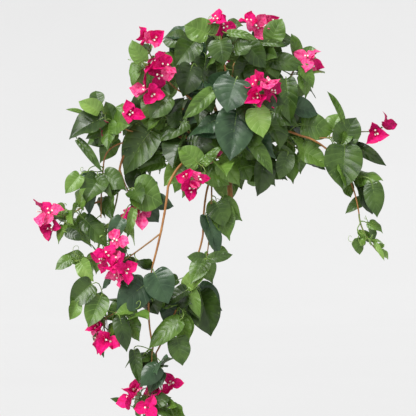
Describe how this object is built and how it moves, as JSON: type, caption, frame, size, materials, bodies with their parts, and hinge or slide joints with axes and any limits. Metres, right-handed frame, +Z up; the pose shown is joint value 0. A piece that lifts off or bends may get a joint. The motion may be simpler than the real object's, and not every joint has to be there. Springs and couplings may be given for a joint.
{
  "type": "artificial hanging bougainvillea bush",
  "caption": "Artificial bougainvillea bush with one cut plastic stem, wire boughs in a domed crown, a side arm and long trailing sprays of heart-shaped leaves and pink three-bract flowers.",
  "frame": {"origin": "centre of the flat cut at the foot of the main stem", "axes": "+Z up along the stem, +X to the right seen from the front, +Y to the back, so the front with the most flowers faces -Y"},
  "size_m": [0.6232, 0.3125, 0.83],
  "materials": {
    "stem_cover": "dark brown moulded plastic cover with bark ridges",
    "bough_cover": "orange-brown plastic-covered wire, slightly knotted",
    "foliage": "printed polyester leaves with pressed veins on green plastic twigs; magenta fabric bracts"
  },
  "bodies": {
    "root": {"trunk": "stem_cover", "left_bough": "bough_cover", "left_arch": "bough_cover", "left_elbow": "bough_cover", "left_hang": "bough_cover", "front_bough": "bough_cover", "front_trail": "bough_cover", "front_low": "bough_cover", "mid_bough": "bough_cover", "mid_trail": "bough_cover", "mid_low": "bough_cover", "right_bough": "bough_cover", "right_low": "bough_cover", "right_drop": "bough_cover", "top_bough": "bough_cover", "top_right_bough": "bough_cover", "top_left_bough": "bough_cover", "upper_left_bough": "bough_cover", "upper_right_bough": "bough_cover", "centre_bough": "bough_cover", "back_left_bough": "bough_cover", "back_right_bough": "bough_cover", "back_bough": "bough_cover", "top_spray": "foliage", "top_right_spray": "foliage", "top_left_spray": "foliage", "upper_left_spray": "foliage", "upper_right_spray": "foliage", "centre_spray": "foliage", "crown_front": "foliage", "crown_mid": "foliage", "crown_right": "foliage", "crown_low": "foliage", "left_inner": "foliage", "left_under": "foliage", "left_tip_spray": "foliage", "left_dark": "foliage", "far_left_spray": "foliage", "left_drop": "foliage", "round_spray": "foliage", "side_spray": "foliage", "dark_low": "foliage", "lower_left_spray": "foliage", "front_low_spray": "foliage", "front_hang": "foliage", "mid_spray": "foliage", "low_spray": "foliage", "bottom_left": "foliage", "bottom_right": "foliage", "flower_tip": "foliage", "heart_spray": "foliage", "right_end": "foliage", "right_short": "foliage", "back_left_spray": "foliage", "back_right_spray": "foliage", "back_top_spray": "foliage", "back_low_spray": "foliage", "tail_left": "foliage", "tail_right": "foliage"}
  },
  "joints": []
}
